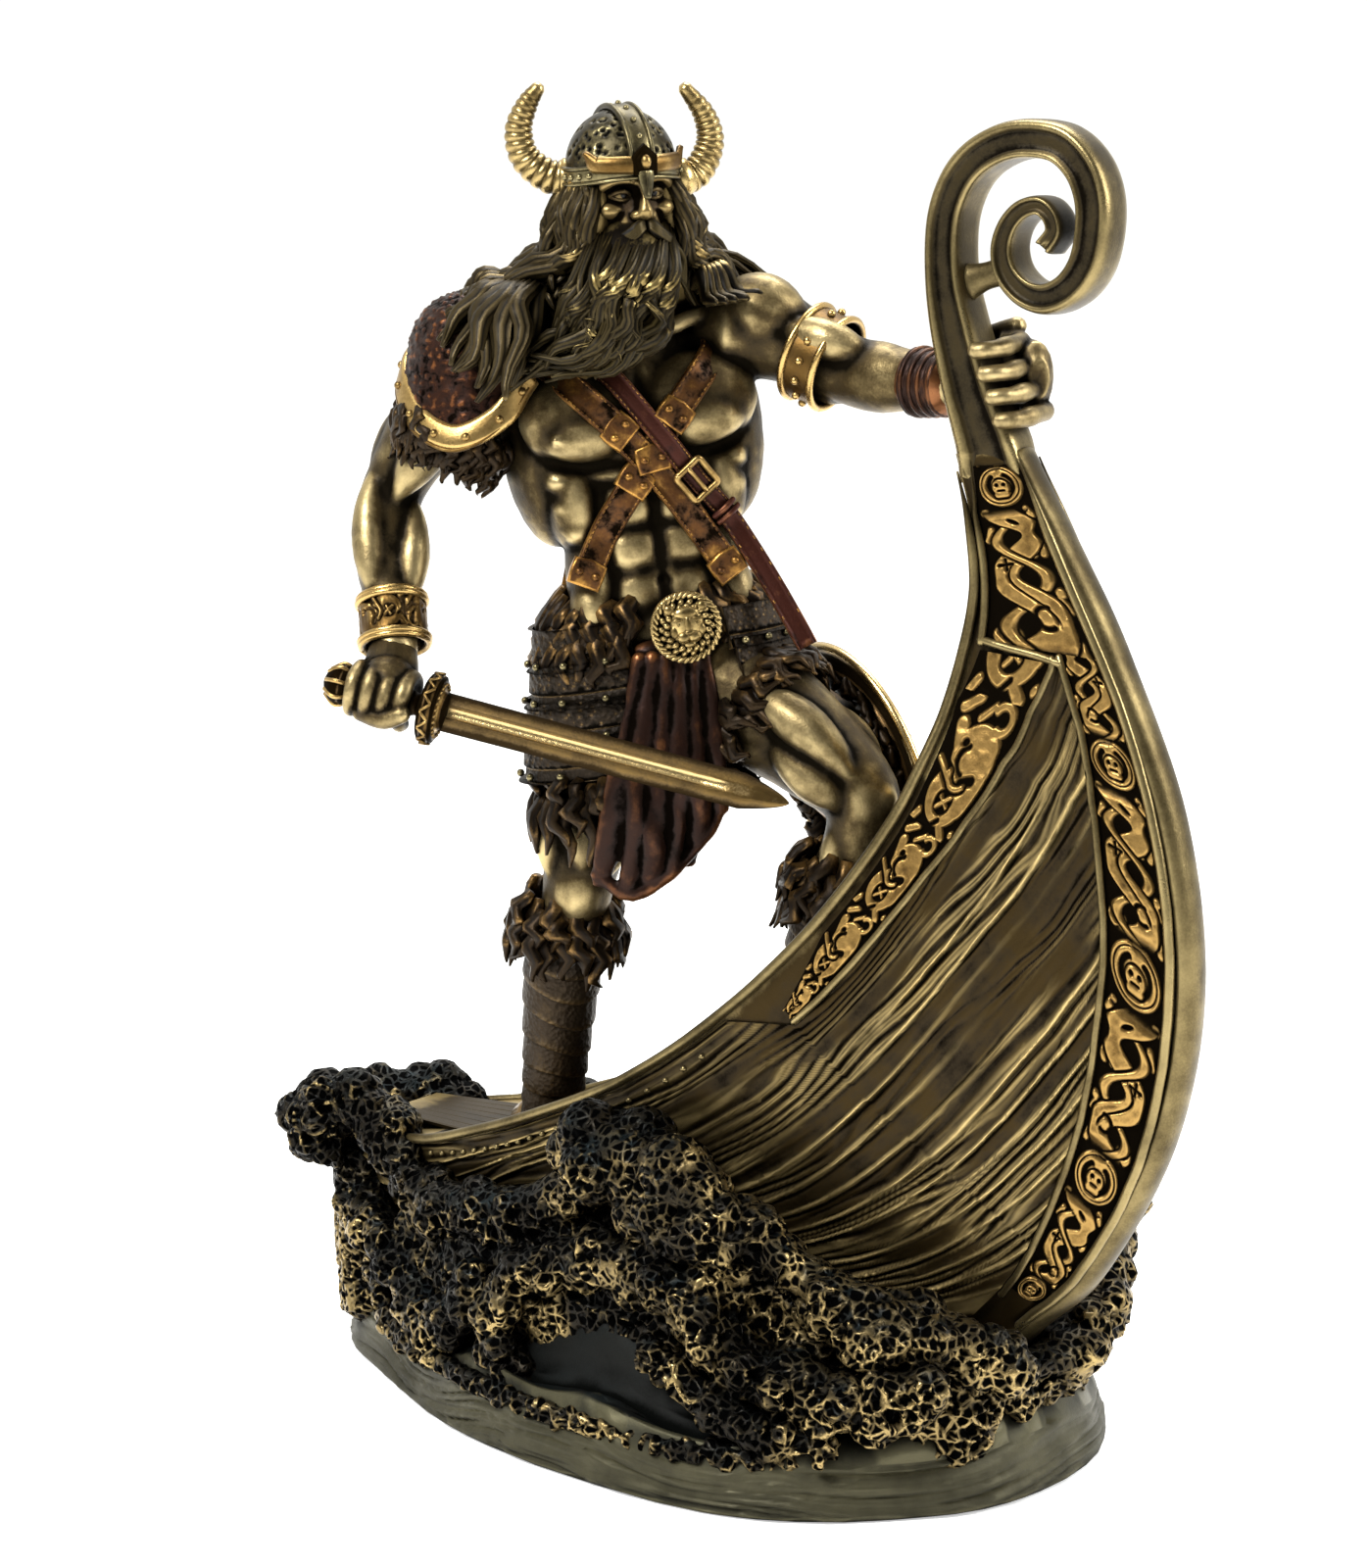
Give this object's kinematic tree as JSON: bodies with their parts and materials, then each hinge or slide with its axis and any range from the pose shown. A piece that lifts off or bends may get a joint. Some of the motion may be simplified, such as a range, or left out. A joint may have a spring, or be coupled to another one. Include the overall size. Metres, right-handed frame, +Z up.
{
  "type": "statue",
  "caption": "Table-top cold-cast bronze statue of a horned-helmed viking with a sword, standing in a longship bow on breaking waves.",
  "frame": {"origin": "on the flat underside of the waves, under the middle of the boat", "axes": "+Z up, +X to the viewer's right in the front view, +Y away from the viewer; the bow points between +X and -Y"},
  "size_m": [0.2057, 0.1615, 0.3001],
  "materials": {
    "ship_bronze": "dark brown patina, high edges rubbed to gold, blue-black in the troughs",
    "figure_bronze": "olive-brown patina with polished high lights, gilt trims and red-brown leather",
    "sword_bronze": "brushed gold bronze"
  },
  "bodies": {
    "root": {"longship_on_waves": "ship_bronze", "warrior": "figure_bronze", "sword": "sword_bronze"}
  },
  "joints": []
}
